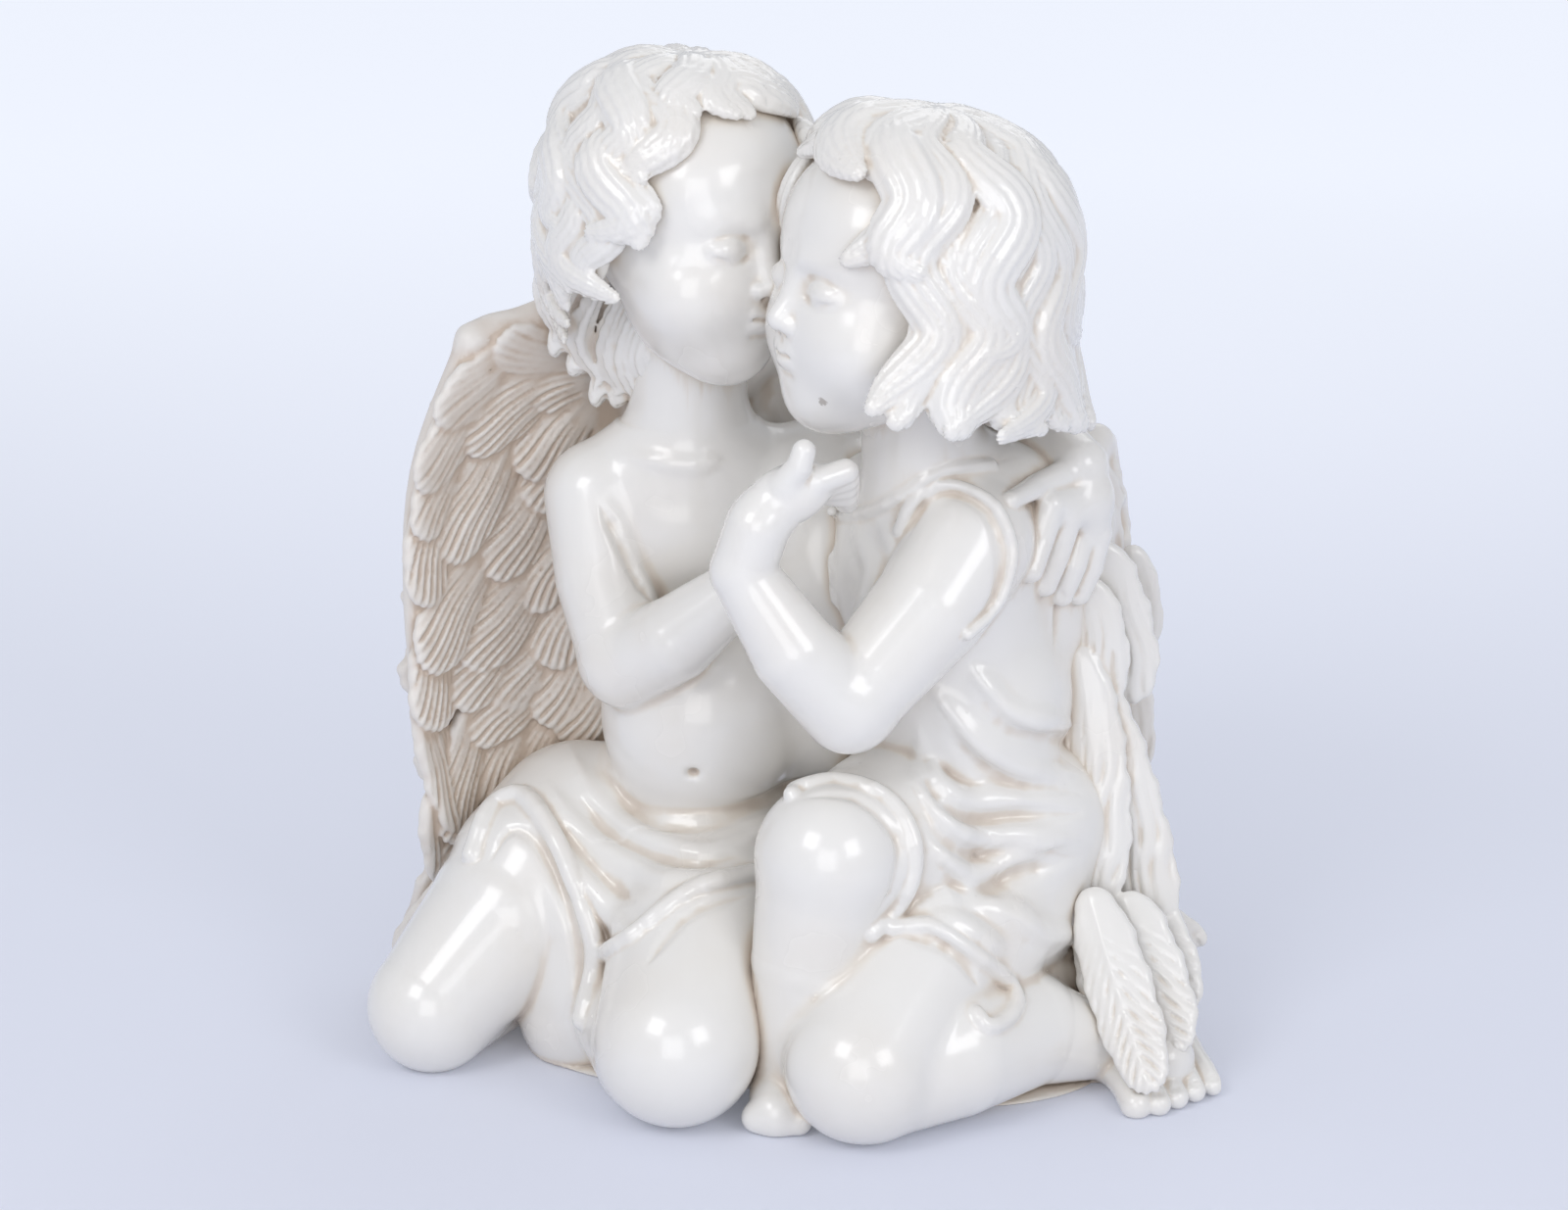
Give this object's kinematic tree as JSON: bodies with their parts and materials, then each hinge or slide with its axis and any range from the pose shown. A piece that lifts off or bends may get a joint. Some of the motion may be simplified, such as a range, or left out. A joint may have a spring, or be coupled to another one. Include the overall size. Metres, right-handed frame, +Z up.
{
  "type": "garden statue of two kneeling child angels",
  "caption": "Glazed ivory statue of kneeling winged children in an embrace, cast as a single piece with its low ground pad, resting on a flat underside.",
  "frame": {"origin": "middle of the bounding box at the level of the underside", "axes": "+Z up, -Y towards the side that the figures show, +X towards the girl on the visitor's right"},
  "size_m": [0.514, 0.3507, 0.6021],
  "materials": {
    "ivory_glaze": "hollow cast resin under a glossy ivory coat, with a warm beige wash left in the wings and the recesses"
  },
  "bodies": {
    "root": {"angel_pair": "ivory_glaze"}
  },
  "joints": []
}
